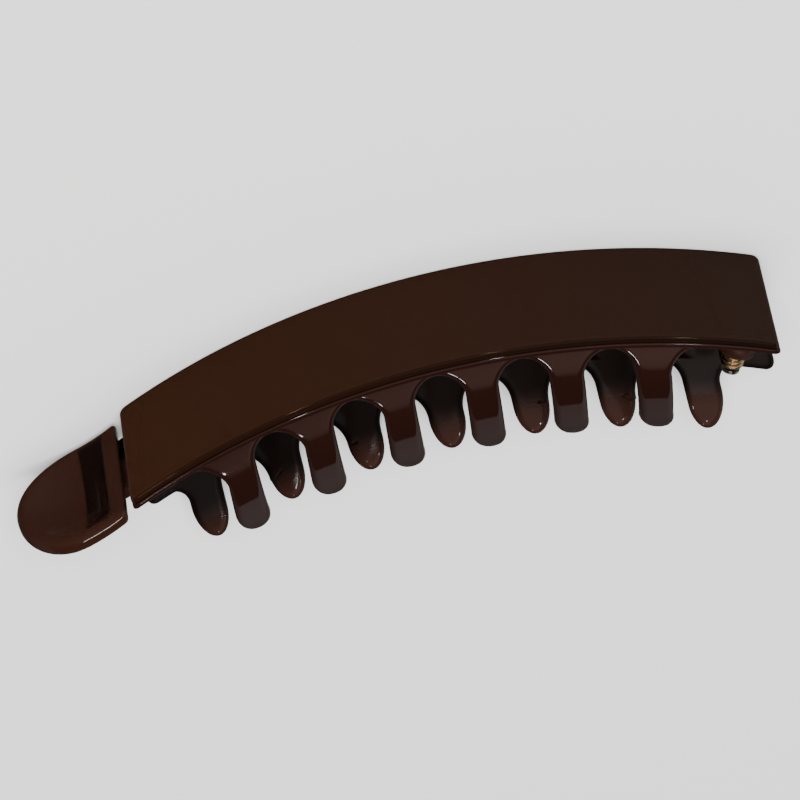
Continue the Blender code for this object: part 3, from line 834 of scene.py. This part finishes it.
def paint_shade(material, axis, start, start_soft, depth, end=BEYOND, end_soft=0.1, dull=0.0, reach=BEYOND,
           underside=1.0):
    """Put a band of painted shade between a finish's polish and its shader; depth is the share of the colour
    left in the band.

    dull is the roughness in the band, if it isn't 0, reach its end on both sides of the mid plane, and
    underside its share on faces that look down.
    """
    tree = material.node_tree
    shader = tree.nodes["Principled BSDF"]
    painted_shade_node = new_node(tree, "Group", node_tree=painted_shade_group(), sockets={
        "Colour": feed(shader, "Base Color"),
        "Axis": axis,
        "Start": start,
        "Start softness": start_soft,
        "End": end,
        "End softness": end_soft,
        "Depth": depth,
        "Middle": MIDDLE_Z,
        "Reach": reach,
        "Reach end": reach + REACH_SOFT,
        "Underside": underside,
    })
    tree.links.new(painted_shade_node.outputs["Colour"], shader.inputs["Base Color"])
    if dull:
        gloss = new_node(tree, "MapRange", {
            "Value": painted_shade_node.outputs["Mask"], "To Min": feed(shader, "Roughness"), "To Max": dull,
        })
        tree.links.new(gloss.outputs["Result"], shader.inputs["Roughness"])


def paint_light_fade(material, far_painted_colour):
    """Painted light: let a finish's colour change evenly from the plate's lever end to the far colour at its
    hinge end, as if warmer light fell on the lever end.
    """
    tree = material.node_tree
    shader = tree.nodes["Principled BSDF"]
    spot = new_node(tree, "TexCoord").outputs["Object"]
    along = new_node(tree, "MapRange", {
        "Value": new_node(tree, "SeparateXYZ", {0: spot}).outputs["X"],
        "From Min": PLATE_LOW.x, "From Max": PLATE_HIGH.x,
    })
    mix = new_node(tree, "Mix", {
        "Factor": along.outputs["Result"], "A": feed(shader, "Base Color"), "B": (*far_painted_colour, 1.0),
    }, data_type="RGBA")
    tree.links.new(mix.outputs["Result"], shader.inputs["Base Color"])


def polished(name, colour_value, roughness, drift, wear, waves, specular=0.5, tint=WHITE, metallic=0.0):
    """A finish with handled polish; metal where metallic is 1."""
    material = bpy.data.materials.new(name)
    material.use_nodes = True
    tree = material.node_tree
    shader = tree.nodes["Principled BSDF"]
    polish = new_node(tree, "Group", node_tree=polish_group(), sockets={
        "Colour": (*colour_value, 1.0), "Drift": drift, "Roughness": roughness, "Wear": wear,
    })
    bump = new_node(tree, "Bump", {
        "Strength": waves, "Distance": WAVE_HEIGHT, "Height": polish.outputs["Height"],
    })
    tree.links.new(polish.outputs["Colour"], shader.inputs["Base Color"])
    tree.links.new(polish.outputs["Roughness"], shader.inputs["Roughness"])
    tree.links.new(bump.outputs["Normal"], shader.inputs["Normal"])
    shader.inputs["Metallic"].default_value = metallic
    shader.inputs["Specular IOR Level"].default_value = specular
    shader.inputs["Specular Tint"].default_value = (*tint, 1.0)
    return material


# Stage

def clip_direction(x, across, rise):
    """A direction in the clip's own terms, turned into the file's frame."""
    return Vector((x, rise, -across))


def make_camera():
    """The camera on the fitted line of sight, with the picture turned by the fitted roll."""
    sizes = settings("stage")
    azimuth, elevation, roll = sizes.azimuth, sizes.elevation, sizes.roll
    back = clip_direction(sin(azimuth) * cos(elevation), -cos(azimuth) * cos(elevation), sin(elevation))
    right = clip_direction(cos(azimuth), sin(azimuth), 0.0)
    up = back.cross(right)
    centre = Vector(place(0.0, 0.0, 0.0).tolist())
    target = centre + right * sizes.aim_right + up * sizes.aim_up
    data = bpy.data.cameras.new("photo_camera")
    data.sensor_width = SENSOR
    data.lens = sizes.pixels * SENSOR / PHOTO_SIDE
    data.clip_start = 0.01
    data.clip_end = 20.0
    camera = new_object("photo_camera", data)
    turned_right = right * cos(roll) - up * sin(roll)
    turned_up = right * sin(roll) + up * cos(roll)
    axes = Matrix((turned_right, turned_up, back)).transposed().to_4x4()
    camera.matrix_world = Matrix.Translation(target + back * sizes.distance) @ axes
    bpy.context.scene.camera = camera


def add_light(name, place_at, look_at, size, power):
    """A soft rectangular light at a place, turned to what it lights."""
    data = bpy.data.lights.new(name, "AREA")
    data.shape = "RECTANGLE"
    data.size, data.size_y = size
    data.energy = power
    light = new_object(name, data)
    direction = Vector(look_at) - Vector(place_at)
    light.location = place_at
    light.rotation_mode = "QUATERNION"
    light.rotation_quaternion = direction.to_track_quat("-Z", "Y")
    return light


def make_floor():
    """A pale floor disc under the clip."""
    mesh = bpy.data.meshes.new("floor")
    turn = np.linspace(0.0, 2 * pi, 96, endpoint=False)
    points = FLOOR_RADIUS * np.stack([np.cos(turn), np.sin(turn), np.zeros_like(turn)], axis=-1)
    mesh.from_pydata(points.tolist(), [], [list(range(len(turn)))])
    floor = new_object("floor", mesh)
    material = bpy.data.materials.new("pale_floor")
    material.use_nodes = True
    shader = material.node_tree.nodes["Principled BSDF"]
    shader.inputs["Base Color"].default_value = (*settings("finish").floor, 1.0)
    shader.inputs["Roughness"].default_value = 0.9
    shader.inputs["Specular IOR Level"].default_value = 0.1
    mesh.materials.append(material)
    floor.visible_glossy = False


def ramp(tree, value, stops):
    """A colour ramp over a value from 0 to 1; stops are (position, brightness, warmth)."""
    node = new_node(tree, "ValToRGB", {"Fac": value})
    elements = node.color_ramp.elements
    while len(elements) < len(stops):
        elements.new(0.5)
    for element, (position, bright, warm) in zip(elements, stops):
        element.position = position
        element.color = (bright, bright * (1.0 - WARM_GREEN * warm), bright * (1.0 - WARM_BLUE * warm), 1.0)
    return node.outputs["Color"]


def make_world():
    """Even light for the matt floor, and dark studio walls, a grey floor and a soft ceiling in the gloss."""
    world = bpy.data.worlds.new("studio")
    world.use_nodes = True
    tree = world.node_tree
    spot = new_node(tree, "TexCoord").outputs["Generated"]
    parts = new_node(tree, "SeparateXYZ", {0: spot}).outputs
    height = new_node(tree, "MapRange", {"Value": parts["Z"], "From Min": -1.0}).outputs["Result"]
    side = new_node(tree, "MapRange", {"Value": parts["Y"], "From Min": -1.0}).outputs["Result"]
    halves = new_node(tree, "MapRange", {
        "Value": side, "From Min": WALLS_MEET[0], "From Max": WALLS_MEET[1],
    }).outputs["Result"]
    walls = new_node(tree, "Mix", {
        "Factor": halves, "A": ramp(tree, height, BEHIND_CLIP), "B": ramp(tree, height, BEFORE_CLIP),
    }, data_type="RGBA").outputs["Result"]
    across = new_node(tree, "MapRange", {
        "Value": parts["X"], "From Min": -SIDE_SPAN, "From Max": SIDE_SPAN,
        "To Min": LEVER_SIDE, "To Max": HINGE_SIDE,
    }).outputs["Result"]
    graded = new_node(tree, "VectorMath", {0: walls, "Scale": across}, operation="SCALE")
    seen = new_node(tree, "Mix", {
        "Factor": new_node(tree, "LightPath").outputs["Is Glossy Ray"],
        "A": (*EVEN_LIGHT, 1.0), "B": graded.outputs[0],
    }, data_type="RGBA")
    tree.links.new(seen.outputs["Result"], tree.nodes["Background"].inputs["Color"])
    bpy.context.scene.world = world


# Operators

class CLIP_OT_stage(bpy.types.Operator):
    """Make the floor, the studio lights and the camera"""

    bl_idname = "hair_clip.stage"
    bl_label = "Stage"

    def execute(self, context):
        make_floor()
        make_world()
        make_camera()
        for name, spot, size, power in SOFT_LIGHTS:
            add_light(name, spot, (0.0, 0.0, 0.0), size, power).visible_glossy = False
        for name, spot, size, power in SPARKLE_LIGHTS:
            add_light(name, spot, AIM, size, power).visible_diffuse = False
        return {"FINISHED"}


class CLIP_OT_cover(bpy.types.Operator):
    """Make the polished cover plate"""

    bl_idname = "hair_clip.cover"
    bl_label = "Cover plate"

    def execute(self, context):
        sizes = settings("cover")
        colours = settings("finish")
        finish = polished("plate_polish", colours.plate, roughness=0.05, drift=0.10, wear=0.03, waves=0.02,
                          specular=0.25, tint=(1.0, 0.62, 0.42))
        # Painted light: the plate fades from warm at the lever end to greyer at the hinge end.
        paint_light_fade(finish, colours.plate_far_painted_light)
        # Painted shade: the plate's rounded front edge is darkened in colour.
        paint_shade(finish, (0.0, 0.0, 1.0), start=WIDTH - sizes.edge_round, start_soft=0.0002, depth=0.45)
        shell = Shell()
        arched_bar(shell, -CHORD / 2, CHORD / 2, 0.0, sizes.plate_thick, -WIDTH / 2, WIDTH / 2,
                   sizes.edge_round, sizes.corner_round, 160)
        add_piece("cover_plate", shell, finish, "cover", "top_plate")
        return {"FINISHED"}


class CLIP_OT_front(bpy.types.Operator):
    """Make the front jaw: the strip under the plate and the front comb"""

    bl_idname = "hair_clip.front"
    bl_label = "Front jaw"

    def execute(self, context):
        sizes = settings("cover")
        finish = polished("front_jaw_polish", settings("finish").jaw, roughness=0.06, drift=0.15, wear=0.04,
                          waves=0.05)
        strip = Shell()
        arched_bar(strip, -CHORD / 2, CHORD / 2, sizes.strip_top, sizes.strip_bottom, -WIDTH / 2, WIDTH / 2,
                   sizes.edge_round, sizes.corner_round, 160)
        add_piece("front_strip", strip, finish, "cover", "front_jaw")
        comb = Shell()
        front_comb(comb)
        add_piece("front_comb", comb, finish, "cover", "front_jaw")
        return {"FINISHED"}


class CLIP_OT_rear(bpy.types.Operator):
    """Make the rear jaw: its comb, ledge, hinge lug and neck"""

    bl_idname = "hair_clip.rear"
    bl_label = "Rear jaw"

    def execute(self, context):
        sizes = settings("comb")
        # Painted highlight: the rear finish starts from a lighter burgundy that paints the sheen on the rear
        # tips.
        finish = polished("rear_jaw_polish", settings("finish").rear, roughness=0.06, drift=0.15, wear=0.04,
                          waves=0.05, specular=0.35)
        # Painted shade: the rear wall away from the tips is darkened in colour and dulled, where it lies in
        # shade inside the clip.
        paint_shade(finish, (0.0, 0.0, -1.0), start=-0.0108, start_soft=0.0035, depth=0.08, dull=0.45)
        comb = Shell()
        rear_comb(comb)
        add_piece("rear_comb", comb, finish, "rear", "rear_jaw")
        inner = Shell()
        low = sizes.rear_top + sizes.ledge_thick
        arched_bar(inner, sizes.rear_left + LEDGE_INSET, sizes.rear_right - LEDGE_INSET, sizes.rear_top, low,
                   sizes.ledge_inner, sizes.ledge_outer, radius=0.0005, corner_round=0.0008)
        neck(inner)
        lug(inner)
        add_piece("rear_ledge", inner, finish, "rear", "rear_jaw")
        return {"FINISHED"}


class CLIP_OT_lever(bpy.types.Operator):
    """Make the scooped thumb lever"""

    bl_idname = "hair_clip.lever"
    bl_label = "Thumb lever"

    def execute(self, context):
        finish = polished("lever_polish", settings("finish").lever, roughness=0.05, drift=0.12, wear=0.04,
                          waves=0.04)
        # Painted shade: a dark band across the scoop near its root stands in for the shade and a dark
        # reflection there; faces that look down keep their colour.
        paint_shade(finish, (1.0, 0.0, 0.0), start=-0.0560, start_soft=0.0005, depth=0.22, end=-0.0512,
               end_soft=0.0006, reach=0.0103, underside=0.0)
        shell = Shell()
        lever(shell)
        add_piece("thumb_lever", shell, finish, "rear", "rear_jaw")
        return {"FINISHED"}


class CLIP_OT_hinge(bpy.types.Operator):
    """Make the gold torsion spring and finish the pin"""

    bl_idname = "hair_clip.hinge"
    bl_label = "Hinge"

    def execute(self, context):
        colours = settings("finish")
        gold = polished("spring_gold", colours.gold, roughness=0.16, drift=0.12, wear=0.10, waves=0.05,
                        metallic=1.0)
        steel = polished("pin_steel", colours.steel, roughness=0.28, drift=0.10, wear=0.10, waves=0.05,
                         metallic=1.0)
        shell = Shell()
        tube(shell, spring_path(), settings("hinge").wire / 2)
        add_piece("gold_spring", shell, gold, "rear", "torsion_spring")
        frame["nodes"]["hinge_pin"].material_slots[0].material = steel
        return {"FINISHED"}


class CLIP_PT_sidebar(bpy.types.Panel):
    """Sizes, colours and steps of the hair clip"""

    bl_idname = "CLIP_PT_sidebar"
    bl_label = "Banana hair clip"
    bl_space_type = "VIEW_3D"
    bl_region_type = "UI"
    bl_category = "Hair clip"

    def draw(self, context):
        for operator in OPERATORS:
            self.layout.operator(operator.bl_idname)
        for name, group in GROUPS:
            box = self.layout.box()
            box.label(text=name.capitalize())
            for key in group.__annotations__:
                box.prop(settings(name), key)


GROUPS = (
    ("cover", CoverSizes),
    ("wall", WallSizes),
    ("comb", CombSizes),
    ("lever", LeverSizes),
    ("hinge", HingeSizes),
    ("finish", Finishes),
    ("stage", StageSizes),
)
OPERATORS = (CLIP_OT_stage, CLIP_OT_cover, CLIP_OT_front, CLIP_OT_rear, CLIP_OT_lever, CLIP_OT_hinge)


def register():
    for name, group in GROUPS:
        bpy.utils.register_class(group)
        setattr(bpy.types.Scene, "clip_" + name, bpy.props.PointerProperty(type=group))
    for item in (*OPERATORS, CLIP_PT_sidebar):
        bpy.utils.register_class(item)


def unregister():
    for item in (CLIP_PT_sidebar, *OPERATORS):
        bpy.utils.unregister_class(item)
    for name, group in GROUPS:
        delattr(bpy.types.Scene, "clip_" + name)
        bpy.utils.unregister_class(group)


def main():
    """Make every piece in order."""
    register()
    for step in ("stage", "cover", "front", "rear", "lever", "hinge"):
        getattr(bpy.ops.hair_clip, step)()
    bpy.context.view_layer.update()


if __name__ == "__main__":
    main()
